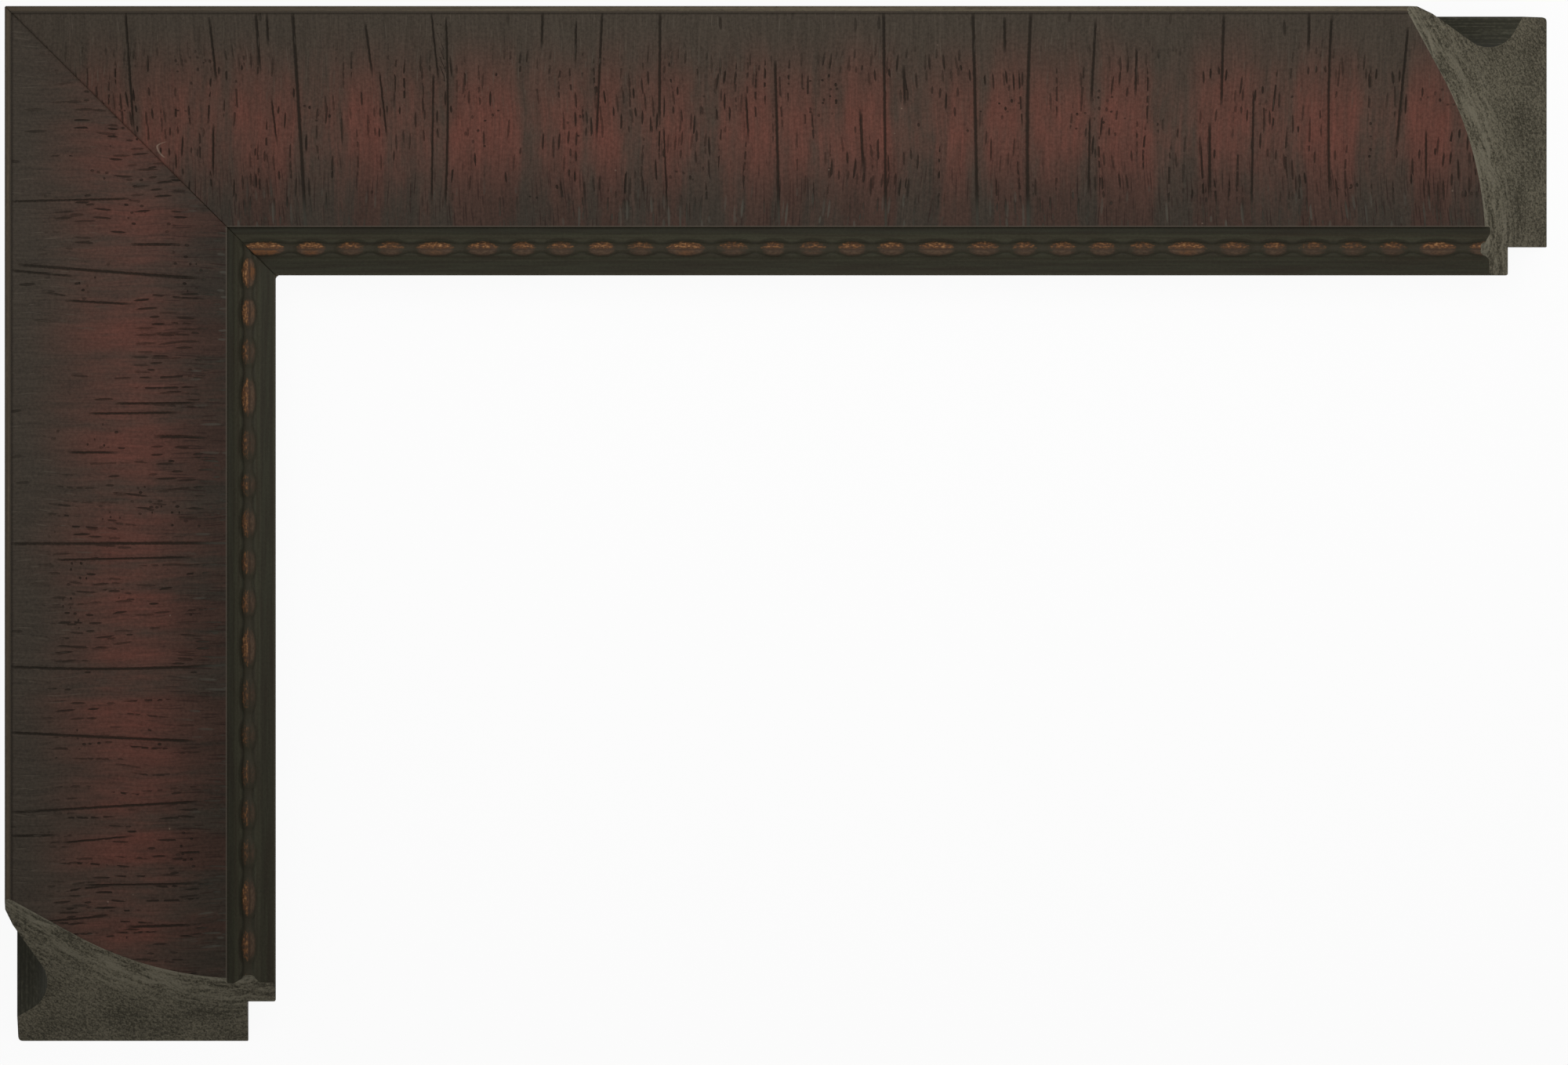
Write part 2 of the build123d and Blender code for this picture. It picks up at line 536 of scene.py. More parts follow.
@dataclass(frozen=True)
class LipFinish:
    """Olive black paint on the lip, with gilt rubbed on to the beads and painted light and shade.
    """

    name: str
    start: float
    sight: float
    # tone scales the paint's brightness; a higher tone is a lighter copy of the paint, which is
    # painted light.
    tone: float
    paint: Colour = shade(49, 46, 37)
    green: Colour = shade(54, 53, 42)
    earth: Colour = shade(48, 42, 34)
    wax_and_shade: Colour = shade(27, 25, 19)
    bridge: Colour = shade(57, 52, 42)
    rust: Colour = shade(72, 53, 43)
    gilt: Colour = shade(106, 70, 43)
    painted_glint_colour: Colour = shade(174, 132, 90)
    dull: Colour = shade(84, 68, 54)
    edge: Colour = shade(74, 68, 55)
    gloss: float = 0.06

    def make(self) -> bpy.types.Material:
        """Builds the lip's paint.

        Gilt lies in a band on the bead's outer flank and in a shorter, duller patch on the inner
        one, with a bare line between them, and painted highlights glint on the band.

        Returns:
            Material for the quirk, the bead row, the lip and the sight edge.
        """
        board = Board(bpy.data.materials.new(self.name))
        along, across, _ = board.parts(board.place())
        streak = board.noise((along * 0.05, across * 1.4, 2.0), 3.0, 0.6)
        grit = board.noise((along * 1.4, across * 1.8, 6.0), 2.0, 0.6)
        slow = board.noise((along * 0.03, across * 0.25, 9.0), 2.0)
        foot = across - self.start
        colour = board.blend(streak.ramp(0.35, 0.65), self.paint, self.green)
        colour = board.blend(slow.ramp(0.5, 0.75) * 0.7, colour, self.earth)
        # Painted light and shade: the paint is darker at the quirk's foot and lighter on the slope
        # up to the bead ridge and on the ridge's inner flank, where light falls.
        outer = foot.ramp(1.3, 2.4) * (1 - foot.ramp(3.6, 4.3))
        inner = foot.ramp(6.5, 7.0) * (1 - foot.ramp(8.0, 8.8))
        light = (0.8 + foot.ramp(1.3, 4.0) * 0.04 + outer * 0.42 + inner * 0.28) * self.tone
        colour = board.tint(colour, (0.74 + grit * 0.52) * light)

        aside, leaf, swell = board.parts(board.attribute(BEAD_ATTRIBUTE))
        rubbed = board.noise((along * 0.9, across * 2.0, 3.0), 3.0, 0.7)
        grains = board.noise((along * 1.2, across * 2.2, 5.0), 1.0, 0.6)
        ridge = 1 - abs(aside).ramp(0.75, 1.15)
        colour = board.blend(ridge * (0.2 + grit * 0.6), colour, self.bridge)
        # Painted shade and dark wax: the creases beside the beads are darkened, most on the
        # quirk's side, where wax lies and shade falls.
        crease = (1 - abs(aside + 1.18).ramp(0.08, 0.36)) * 0.42
        crease = crease.most((1 - abs(aside - 1.1).ramp(0.06, 0.3)) * 0.08)
        colour = board.blend(crease, colour, self.wax_and_shade)
        wavy = leaf + (rubbed - 0.5) * 0.5
        full = swell**0.6 * 1.45
        core = (full + (rubbed - 0.5) * 0.8 - 0.5).ramp(0.0, 0.5)
        core = core * (1 - abs(wavy).ramp(0.6, 1.0))
        colour = board.blend(core * 0.6, colour, self.rust)
        worn = full + (grains - 0.5) * 1.6 + (rubbed - 0.5) * 0.7
        worn = (worn - 0.42).ramp(0.0, 0.9) * (0.6 + grains.ramp(0.36, 0.62) * 0.4)
        patch = (1 - abs(wavy - 0.46).ramp(0.08, 0.44)) * worn * swell.ramp(0.2, 0.5)
        thick = board.blend(swell.ramp(0.55, 0.9), self.dull, self.gilt)
        colour = board.blend(patch * 0.85, colour, thick)
        gilt = (1 - abs(wavy + 0.44).ramp(0.14, 0.54)) * worn
        colour = board.blend(gilt * 0.87, colour, self.gilt)
        # Painted highlights: bright glints on the gilt.
        painted_glint = gilt * (grains * 0.7 + rubbed * 0.8).ramp(0.7, 1.0)
        painted_glint = painted_glint * (0.3 + swell.ramp(0.3, 0.7) * 0.7)
        colour = board.blend(painted_glint * 0.72, colour, self.painted_glint_colour)
        edge = 1 - abs(across - self.sight).ramp(0.15, 0.65)
        colour = board.blend(edge * (0.2 + grit * 0.5), colour, self.edge)

        rough = 0.54 + (grit - 0.5) * 0.2 - gilt * 0.12
        height = (grit - 0.5) * 0.04 + (streak - 0.5) * 0.04 + grains * gilt * 0.06
        return board.done(colour, rough, gilt * 0.15, height, self.gloss)


@dataclass(frozen=True)
class SideFinish:
    """Dark paint on the outer side or the nose, brushed along the rail.

    It wears to the lighter colour in streaks, and from_mm and to_mm are the places along the rail
    between which that lighter colour sets in; on the top rail's nose that ramp is painted light,
    lighter towards the saw cut.
    """

    name: str
    paint: Colour
    worn: Colour
    wear: float
    from_mm: float = -200.0
    to_mm: float = -100.0
    gloss: float = 0.06

    def make(self) -> bpy.types.Material:
        """Builds a brushed paint that wears to a lighter colour in streaks.

        Returns:
            Material for the cove, the flange or the nose.
        """
        board = Board(bpy.data.materials.new(self.name))
        along, across, _ = board.parts(board.place())
        brush = board.noise((along * 0.04, across * 2.2, 1.0), 3.0, 0.6)
        grit = board.noise((along * 0.9, across * 1.5, 5.0), 3.0, 0.6)
        share = (brush * 0.6 + grit * 0.4).ramp(0.62 - self.wear, 0.86 - self.wear)
        # Painted light where from_mm and to_mm are set: the lighter colour grows along the rail.
        share = share * along.ramp(self.from_mm, self.to_mm)
        colour = board.blend(share, self.paint, self.worn)
        colour = board.tint(colour, 0.42 + grit * 0.48 + brush * 0.68)
        rough = 0.52 + (grit - 0.5) * 0.25
        height = (brush - 0.5) * 0.05 + (grit - 0.5) * 0.03
        return board.done(colour, rough, 0.0, height, self.gloss)


@dataclass(frozen=True)
class BareFinish:
    """Uncoated softwood on the back and in the rabbet, with grain along the rail."""

    pale: Colour = shade(96, 88, 72)
    dark: Colour = shade(66, 58, 46)
    gloss: float = 0.08

    def make(self) -> bpy.types.Material:
        """Builds the bare wood.

        Returns:
            Material for the rabbet and the back.
        """
        board = Board(bpy.data.materials.new("bare_wood"))
        along, across, _ = board.parts(board.place())
        wander = board.noise((along * 0.012, across * 0.06), 1.0) - 0.5
        growth = across + wander * 7.0
        ring = board.noise((along * 0.006, growth * 0.5, 1.0), 2.0, 0.6)
        fibre = board.noise((along * 0.16, across * 3.0, 4.0), 3.0, 0.6)
        colour = board.blend(ring.ramp(0.34, 0.66), self.dark, self.pale)
        colour = board.tint(colour, 0.75 + fibre * 0.5)
        rough = 0.68 + (fibre - 0.5) * 0.3
        height = (fibre - 0.5) * 0.08 + (ring - 0.5) * 0.06
        return board.done(colour, rough, 0.0, height, self.gloss)


@dataclass(frozen=True)
class CutFinish:
    """Sawn end grain, with a pale ground under the veneer's edge."""

    scoop_low: tuple[float, float]
    scoop_high: tuple[float, float]
    pale: Colour = shade(113, 107, 91)
    dark: Colour = shade(57, 54, 44)
    ground: Colour = shade(122, 117, 102)
    gloss: float = 0.08

    def make(self) -> bpy.types.Material:
        """Builds the cut wood.

        Rings follow the scoop: depth = low + rise ((edge - width) / run)^1.55 - height.

        Returns:
            Material for the mitre and the free end.
        """
        board = Board(bpy.data.materials.new("end_grain"))
        width, height, _ = board.parts(board.place())
        run = self.scoop_low[0] - self.scoop_high[0]
        rise = self.scoop_high[1] - self.scoop_low[1]
        climb = ((self.scoop_low[0] - width) / run).most(0.0) ** 1.55
        depth = climb * rise + self.scoop_low[1] - height
        warp = board.noise((width * 0.12, height * 0.12), 2.0) - 0.5
        ring = board.noise((width * 0.1, (depth + warp * 3.0) * 0.75, 1.0), 3.0, 0.65)
        cell = board.noise((width * 1.0, depth * 1.7, 3.0), 3.0, 0.75)
        grit = board.noise((width * 2.4, height * 2.6, 8.0), 2.0, 0.7)
        slow = board.noise((width * 0.07, height * 0.1, 6.0), 2.0)
        near = 1 - depth.ramp(1.0, 13.0)
        tone = (ring - 0.5) * (near * 1.5 + 0.25) + (cell - 0.5) * 2.1 + (grit - 0.5) * 1.7
        tone = tone + (slow - 0.5) * 0.8 + 0.5
        colour = board.blend(tone.ramp(0.0, 1.0), self.dark, self.pale)
        colour = board.blend(near * ring.ramp(0.44, 0.66) * 0.5, colour, self.ground)
        rim = (1 - depth.ramp(0.3, 1.3)) * cell.ramp(0.25, 0.6)
        colour = board.blend(rim * 0.55, colour, self.ground)
        rough = 0.75 + (cell - 0.5) * 0.2
        relief = (cell - 0.5) * 0.1 + (grit - 0.5) * 0.1 + (ring - 0.5) * 0.1
        return board.done(colour, rough, 0.0, relief, self.gloss)


@dataclass(frozen=True)
class Corner:
    """A corner of the section, its rounding and the zone that starts at it."""

    width: float
    height: float
    radius: float
    zone: Zone


@dataclass(frozen=True)
class Outline:
    """Closed line round the section, from the nose's groove over the face and the back."""

    width: np.ndarray
    height: np.ndarray
    zone: np.ndarray
    bed: np.ndarray

    def travel(self) -> np.ndarray:
        """Length of the line up to each point, and its whole length at the end."""
        step = np.hypot(
            np.diff(self.width, append=self.width[0]), np.diff(self.height, append=self.height[0])
        )
        return np.concatenate(([0.0], np.cumsum(step)))

    def normals(self) -> np.ndarray:
        """Unit normals that point out of the section, from the line's two neighbours."""
        ahead = np.roll(self.width, -1) - np.roll(self.width, 1)
        up = np.roll(self.height, -1) - np.roll(self.height, 1)
        size = np.hypot(ahead, up)
        return np.stack((-up / size, ahead / size), axis=1)


@dataclass(frozen=True)
class Section:
    """Sizes of the moulding's section, in millimetres and degrees."""

    rail_width: float = 60.0
    rail_height: float = 33.0
    rabbet_width: float = 6.5
    rabbet_depth: float = 9.2
    lip_thickness: float = 4.6
    lip_flat: float = 3.3
    sight_radius: float = 0.5
    bed_width: float = 5.2
    quirk_width: float = 2.3
    quirk_depth: float = 1.0
    quirk_sink: float = 0.3
    ridge_rise: float = 0.9
    ridge_half: float = 1.4
    ridge_outer: float = 3.7
    ridge_inner: float = 2.5
    scoop_slope: float = 30.0
    scoop_straight: float = 14.0
    nose_width: float = 1.2
    nose_radius: float = 0.8
    nose_face: float = 2.6
    nose_heel: float = 3.5
    nose_groove: float = 0.3
    nose_ease: float = 0.1
    groove_lean: float = 0.05
    groove_depth: float = 0.4
    heel_radius: float = 1.0
    side_inset: float = 1.5
    cove_radius: float = 7.1
    cove_sill: float = 1.1
    flange_height: float = 5.8
    flange_radius: float = 1.0
    edge_radius: float = 0.22
    quirk_radius: float = 0.45
    corner_steps: int = 5
    scoop_rows: int = 40
    bed_rows: int = 46
    cove_rows: int = 18

    @property
    def lip_top(self) -> float:
        """Height of the lip's flat."""
        return self.rabbet_depth + self.lip_thickness

    @property
    def bed_front(self) -> float:
        """Width at the bed's edge beside the lip's flat."""
        return self.rail_width - self.lip_flat

    @property
    def bed_back(self) -> float:
        """Width at the bed's edge beside the quirk."""
        return self.bed_front - self.bed_width

    @property
    def bead_axis(self) -> float:
        """Width at the middle of the bead row."""
        return (self.bed_front + self.bed_back) / 2

    @property
    def scoop_high(self) -> tuple[float, float]:
        """Point where the scoop starts beside the nose."""
        return self.nose_width, self.rail_height

    @property
    def scoop_low(self) -> tuple[float, float]:
        """Point where the scoop ends over the quirk."""
        return self.bed_back - self.quirk_width, self.lip_top + self.quirk_depth

    def scoop(self) -> np.ndarray:
        """Works out the scoop: a straight slope, then the circle that it touches.

        The circle's centre lies at a right angle to the slope from the slope's foot, at
        radius = reach^2 / (2 normal . reach), so that it also passes through the low end.

        Returns:
            Points from the nose's groove to just before the inner edge.
        """
        lean = math.radians(self.scoop_slope)
        foot = np.array(
            (
                self.nose_width + self.scoop_straight,
                self.rail_height - self.scoop_straight * math.tan(lean),
            )
        )
        normal = np.array((math.sin(lean), math.cos(lean)))
        reach = np.array(self.scoop_low) - foot
        radius = reach.dot(reach) / (2 * normal.dot(reach))
        centre = foot + radius * normal
        last = centre - np.array(self.scoop_low)
        angle = np.linspace(lean, math.atan2(last[0], last[1]), self.scoop_rows)[:-1]
        arc = centre - radius * np.stack((np.sin(angle), np.cos(angle)), axis=1)
        head = self.nose_width + self.nose_groove
        width = np.linspace(head, foot[0], self.scoop_rows // 3, endpoint=False)
        fall = (width - self.nose_width) * math.tan(lean)
        straight = np.stack((width, self.rail_height - fall), axis=1)
        return np.concatenate((straight, arc))

    def bed(self) -> np.ndarray:
        """Works out the ridge that carries the beads, from the quirk's foot to the lip's flat.

        With t from 0 at a foot to 1 at the ridge's level top, each slope climbs by
        (t + t^2 (3 - 2 t)) / 2 of its rise, which softens its two ends.

        Returns:
            Points over the ridge.
        """
        aside = np.linspace(-self.ridge_outer, self.ridge_inner, self.bed_rows)
        outer = (aside + self.ridge_outer) / (self.ridge_outer - self.ridge_half)
        inner = (self.ridge_inner - aside) / (self.ridge_inner - self.ridge_half)
        t = np.clip(np.minimum(outer, inner), 0.0, 1.0)
        low = np.where(aside < 0.0, -self.quirk_sink, 0.0)
        rise = low + (self.ridge_rise - low) * (t + ramp(t, 0.0, 1.0)) / 2
        return np.stack((self.bead_axis + aside, self.lip_top + rise), axis=1)

    def cove(self) -> np.ndarray:
        """Arc of the cove between the points where the sill and the heel's slope touch it."""
        middle = self.flange_height + self.cove_sill + self.cove_radius
        heel = self.rail_height - self.nose_face - self.nose_heel
        low = math.asin(self.cove_radius / (middle - self.flange_height))
        high = math.asin(self.cove_radius / (heel - middle))
        angle = np.linspace(-low, high, self.cove_rows)
        return np.stack(
            (
                self.side_inset + self.cove_radius * np.cos(angle),
                middle + self.cove_radius * np.sin(angle),
            ),
            axis=1,
        )

    def joint(self, before: np.ndarray, corners: list[Corner], after: np.ndarray) -> np.ndarray:
        """Rounded corners between the end of one run and the start of the next."""
        middle = np.array([(corner.width, corner.height) for corner in corners])
        line = np.concatenate((before[-1:], middle, after[:1]))
        radii = np.array([corner.radius for corner in corners])
        return eased(line, radii, self.corner_steps)

    def outline(self) -> Outline:
        """Joins the runs of the section into one closed line.

        Returns:
            The section's line with the zone of each strip after a point.
        """
        ease, soft = self.edge_radius, self.nose_ease
        groove = self.nose_width + self.groove_lean
        top = self.lip_top
        wall = self.rail_width - self.rabbet_width
        nose_low = self.rail_height - self.nose_face
        scoop, bed, cove = self.scoop(), self.bed(), self.cove()
        quirk = [
            Corner(*self.scoop_low, ease, Zone.VENEER),
            Corner(self.scoop_low[0], top - self.quirk_sink, self.quirk_radius, Zone.LIP),
        ]
        lip = [
            Corner(self.rail_width, top, self.sight_radius, Zone.LIP),
            Corner(self.rail_width, self.rabbet_depth, self.sight_radius, Zone.BARE),
            Corner(wall, self.rabbet_depth, ease, Zone.BARE),
            Corner(wall, 0.0, ease, Zone.BARE),
            Corner(self.side_inset, 0.0, self.flange_radius, Zone.SIDE),
            Corner(self.side_inset, self.flange_height, ease, Zone.SIDE),
        ]
        nose = [
            Corner(self.side_inset, nose_low - self.nose_heel, ease, Zone.SIDE),
            Corner(0.0, nose_low, self.heel_radius, Zone.NOSE),
            Corner(0.0, self.rail_height, self.nose_radius, Zone.NOSE),
            Corner(self.nose_width - soft, self.rail_height, soft, Zone.NOSE),
            Corner(groove, self.rail_height - self.groove_depth, soft, Zone.VENEER),
        ]
        groups = [[Zone.VENEER], quirk, [Zone.LIP], lip, [Zone.SIDE], nose]
        runs = [
            scoop,
            self.joint(scoop, quirk, bed),
            bed,
            self.joint(bed, lip, cove),
            cove,
            self.joint(cove, nose, scoop),
        ]
        zones = [
            np.repeat(
                [int(getattr(item, "zone", item)) for item in group], len(run) // len(group)
            )
            for group, run in zip(groups, runs)
        ]
        line = np.concatenate(runs)
        zone = np.concatenate(zones)
        inside = (line[:, 0] > self.bed_back) & (line[:, 0] < self.bed_front)
        return Outline(line[:, 0], line[:, 1], zone, inside & (zone == Zone.LIP))


@dataclass(frozen=True)
class Split:
    """A split or open joint across the veneer.

    nose and edge are the photograph's pixel lines where it would meet the nose and the
    inner edge; start and end are the parts of the way across between which it is open.
    """

    nose: float
    edge: float
    start: float
    end: float
    half: float = 0.24
    bow: float = 0.0


@dataclass(frozen=True)
class Band:
    """A red band in the veneer's figure, between two pixel lines of the photograph."""

    start: float
    end: float
    heat: float


@dataclass(frozen=True)
class BeadRow:
    """The string of beads that an embossing wheel leaves along the lip."""

    lead: float
    mitre: float
    seed: int
    rub: float
    drawn_out: float
    rub_spread: float = 0.1
    long_rub: float = 0.18
    corner_rub: float = 0.5
    corner_reach: float = 35.0
    lengths: tuple[float, ...] = (9.5, 8.2, 6.4, 7.3, 7.1, 7.1)
    gap: float = 1.8
    width: float = 3.5
    rise: float = 1.35
    outer_neck: float = 0.68
    inner_neck: float = 0.45
    neck_rise: float = 0.35
    crease_depth: float = 0.3
    crease_half: float = 0.22
    leaf_tip: float = 0.05
    least_width: float = 0.93
    least_rise: float = 0.88
    long_bead: float = 9.0
    end_power: float = 0.7
    side_power: float = 0.6
    far: float = 4.0

    def relief(self, along: np.ndarray, aside: np.ndarray, start: float) -> np.ndarray:
        """Works out the height of the beads over their ridge.

        Along a bead q runs from -1 to 1 and the swell is (1 - q^2)^end power, which is 0
        between beads. Rise and half width grow with the swell from the neck's to the bead's,
        the width more on the lip's side. With a = aside / half width the height is
        rise (1 - a^2)^side power, less a crease of depth swell^2 exp(-(a / crease half)^2).
        The gilt's leaf closes to a tip between beads: its half width is the bead's by the
        swell.

        Args:
            along: Millimetres along the rail.
            aside: Millimetres from the row's middle.
            start: Place of the first bead.

        Returns:
            Height in millimetres, place across the bead and across the leaf in half widths,
            and gilded swell, on a last axis.
        """
        turn = sum(self.lengths) + len(self.lengths) * self.gap
        turns = math.ceil((along.max() - start) / turn) + 1
        length = np.tile(self.lengths, turns)
        place = start + np.concatenate(([0.0], np.cumsum(length + self.gap)[:-1]))
        cut = (place > self.mitre) & (place < self.mitre + self.drawn_out)
        length = np.where(cut, length + place - self.mitre + self.gap, length)
        place = np.where(cut, self.mitre - self.gap, place)
        chance = np.random.default_rng(self.seed)
        wide = chance.uniform(self.least_width, 1.0, len(length))
        tall = chance.uniform(self.least_rise, 1.0, len(length))
        near = 1 - ramp(place, self.mitre, self.mitre + self.corner_reach)
        rub = self.rub + chance.uniform(-self.rub_spread, self.rub_spread, len(length))
        rub = rub + self.long_rub * (length > self.long_bead) + self.corner_rub * near**2
        rub = np.clip(rub, 0.0, 1.0)
        index = np.clip(np.searchsorted(place, along, side="right") - 1, 0, len(length) - 1)
        q = 2 * (along - place[index]) / length[index] - 1
        swell = np.clip(1 - q * q, 0.0, 1.0) ** self.end_power
        neck = np.where(aside < 0.0, self.outer_neck, self.inner_neck)
        half = self.width / 2 * wide[index] * (neck + (1 - neck) * swell)
        rise = self.rise * tall[index] * (self.neck_rise + (1 - self.neck_rise) * swell)
        across = np.clip(aside / half, -self.far, self.far)
        height = rise * np.clip(1 - across**2, 0.0, 1.0) ** self.side_power
        crease = swell**2 * np.exp(-((across / self.crease_half) ** 2))
        height = height - self.crease_depth * crease
        leaf = aside / (self.width / 2 * (swell + self.leaf_tip))
        leaf = np.clip(leaf, -self.far, self.far)
        return np.stack((height, across, leaf, swell * rub[index]), axis=-1)


@dataclass(frozen=True)
class BakeSheet:
    """Layout of a rail's baked textures, in shares of a square sheet.

    The face fills two rows, one for each half of the rail, because its grain is the finest.
    The other sides fill one row, and the two ends lie side by side in the last.
    """

    face_row: float = 0.315
    rest_row: float = 0.2
    end_row: float = 0.12
    gap: float = 0.008

    def sides(self, columns: int, travel: np.ndarray, face_rows: int) -> np.ndarray:
        """Lays out the strips between columns.

        Args:
            columns: Columns of points along the rail.
            travel: Length of the section's line up to each point, and its whole length.
            face_rows: Strips of the section that belong to the face, from its start.

        Returns:
            Place on the sheet for the corners of each strip between two columns.
        """
        column = np.arange(columns - 1)[:, None, None] + np.array((0, 1, 1, 0))
        over = np.stack((travel[:-1], travel[:-1], travel[1:], travel[1:]), axis=-1)
        half = columns // 2
        late = column[..., :1] >= half
        on_face = (np.arange(len(over)) < face_rows)[:, None]
        along = np.where(late, (column - half) / (columns - 1 - half), column / half)
        along = np.where(on_face, along, column / (columns - 1))
        edge = travel[face_rows]
        face = self.gap + late * (self.face_row + self.gap) + self.face_row * over / edge
        rest = (over - edge) / (travel[-1] - edge) * self.rest_row
        up = np.where(on_face, face, 3 * self.gap + 2 * self.face_row + rest)
        along = self.gap + (1 - 2 * self.gap) * along
        return np.stack(np.broadcast_arrays(along, up), axis=-1)

    def ends(self, places: np.ndarray, count: int) -> np.ndarray:
        """Lays out the mitre and the saw cut.

        Args:
            places: Width and height of the corners of the mitre and then of the cut.
            count: Corners of the mitre.

        Returns:
            Place on the sheet for each corner.
        """
        unit = (places - places.min(axis=0)) / np.ptp(places, axis=0)
        right = np.arange(len(places)) >= count
        along = self.gap + unit[:, 0] * (0.5 - 2 * self.gap) + 0.5 * right
        low = 4 * self.gap + 2 * self.face_row + self.rest_row
        return np.stack((along, low + unit[:, 1] * self.end_row), axis=1)


@dataclass
class Rail:
    """One mitred rail of the moulding, from the outer corner to its sloping saw cut."""

    name: str
    node: str
    course: Course
    section: Section
    beads: BeadRow
    splits: tuple[Split, ...]
    bands: tuple[Band, ...]
    columns: int
    photograph: Photograph = field(default_factory=Photograph)
    sheet: BakeSheet = field(default_factory=BakeSheet)
    bevel: float = 0.16
    cut_rounds: int = 4
    sight_corner: float = 1.5
    sight_reach: float = 0.6
    split_open: float = 0.02
    split_close: float = 0.05
    split_tip: float = 0.03
    split_reach: tuple[float, float] = (0.7, 1.1)
    out_of_reach: float = 50.0
    plain_heat: float = 0.2
    band_edge: float = 9.0
    band_sway: float = 5.0
    sway_across: float = 8.0
    sway_along: float = 27.0
    sharp_angle: float = 50.0
    body: str = "root"
    slot: str = "moulding"

    def length(self) -> float:
        """Length of the rail along its outer edge, from its node's box."""
        low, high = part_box(self.node)
        return (high - low)[self.course.value] / MM

    def origin(self) -> Vector:
        """Outer corner of the moulding on the back's plane, in the frame."""
        low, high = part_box(self.node)
        return Vector((low.x, high.y, low.z))

    def surface(self, line: Outline) -> tuple[np.ndarray, np.ndarray]:
        """Carries the section from the mitre to the saw cut.

        A column at share f lies at (1 - f) mitre + f cut, where the mitre is at along = width
        and the cut at along + height = length. The first and last columns are eased inwards
        along the section's normals, which breaks the edges of the mitre and of the cut.

        Args:
            line: The section's line.

        Returns:
            Along, width and height of each column and row, and the beads' relief there.
        """
        length = self.length()
        start = self.section.bead_axis - self.beads.lead
        aside = line.width - self.section.bead_axis
        normal = line.normals()
        on_bed = line.bed[:, None]
        far = self.beads.far * np.sign(aside)
        plain = np.stack((np.zeros_like(far), far, far, np.zeros_like(far)), axis=1)

        def relief(along: np.ndarray) -> np.ndarray:
            """Relief of the beads, which is nothing off their bed."""
            return np.where(on_bed, self.beads.relief(along, aside, start), plain)

        end_height = line.height
        for _ in range(self.cut_rounds):
            end_height = line.height + relief(length - end_height)[:, 0]
        share = np.linspace(0.0, 1.0, self.columns - 2)[:, None]
        first = line.width + self.bevel
        last = length - end_height - self.bevel
        along = (1 - share) * first + share * last
        lift = relief(along)
        width = np.broadcast_to(line.width, along.shape)
        inside = np.stack((along, width, line.height + lift[..., 0]), axis=-1)

        mitre = np.stack((line.width, line.height), axis=1) - self.bevel * normal
        mitre[:, 1] += lift[0, :, 0]
        cut = np.stack((line.width, end_height), axis=1) - 0.5 * self.bevel * normal
        head = np.column_stack((mitre[:, 0], mitre))
        tail = np.column_stack((length - cut[:, 1], cut))
        points = np.concatenate((head[None], inside, tail[None]))
        lift = np.concatenate((lift[:1], lift, lift[-1:]))
        points[..., :2] += self.corner_fill(points, line)[..., None]
        return points, lift

    def corner_fill(self, points: np.ndarray, line: Outline) -> np.ndarray:
        """Paint that fills the sight edge's inner corner at the mitre.

        With s = along - width, the edge moves out by 0.293 r (1 - s / (0.707 r))^2 where s
        is under 0.707 r, which is close to an arc of radius r.

        Args:
            points: Along, width and height of each column and row.
            line: The section's line.

        Returns:
            Millimetres by which each point moves, along and over the width alike.
        """
        edge = self.section.rail_width
        row = ramp(line.width, edge - self.sight_reach, edge) * (line.zone != Zone.BARE)
        reach = self.sight_corner * math.sqrt(0.5)
        left = np.clip(1 - (points[..., 0] - points[..., 1]) / reach, 0.0, 1.0)
        return row * (self.sight_corner - reach) * left**2

    def split_field(
        self, splits: tuple[Split, ...], points: np.ndarray, line: Outline, scoop: float
    ) -> np.ndarray:
        """Finds each point's nearest split among some in the veneer.

        A split runs along = (1 - t) nose + t edge + 4 bow t (1 - t) with t across the scoop.

        Args:
            splits: Splits that lie well apart.
            points: Along, width and height of each column and row.
            line: The section's line.
            scoop: Length of the section's line over the scoop.

        Returns:
            Distance along the rail, strength and half width for each point.
        """
        t = line.travel()[:-1] / scoop
        face = t <= 1.0
        axis = self.course.value
        field_of = []
        for split in splits:
            pixel = (1 - t) * split.nose + t * split.edge + 4 * split.bow * t * (1 - t)
            along = self.photograph.along(pixel, line.height, axis)
            taper = ramp(t, split.start - self.split_open, split.start + self.split_tip)
            shut = ramp(t, split.end - self.split_close, split.end + self.split_tip)
            taper = taper * (1 - shut) * face
            field_of.append((points[..., 0] - along, np.broadcast_to(taper, points.shape[:2])))
        distance = np.stack([pair[0] for pair in field_of])
        taper = np.stack([pair[1] for pair in field_of])
        nearest = np.argmin(np.abs(distance) + self.out_of_reach * (taper <= 0.0), axis=0)[None]
        distance = np.take_along_axis(distance, nearest, axis=0)[0]
        taper = np.take_along_axis(taper, nearest, axis=0)[0]
        half = np.array([split.half for split in splits])[nearest[0]]
        strength = taper * (1 - ramp(np.abs(distance), *self.split_reach))
        return np.stack((distance, strength, half), axis=-1)

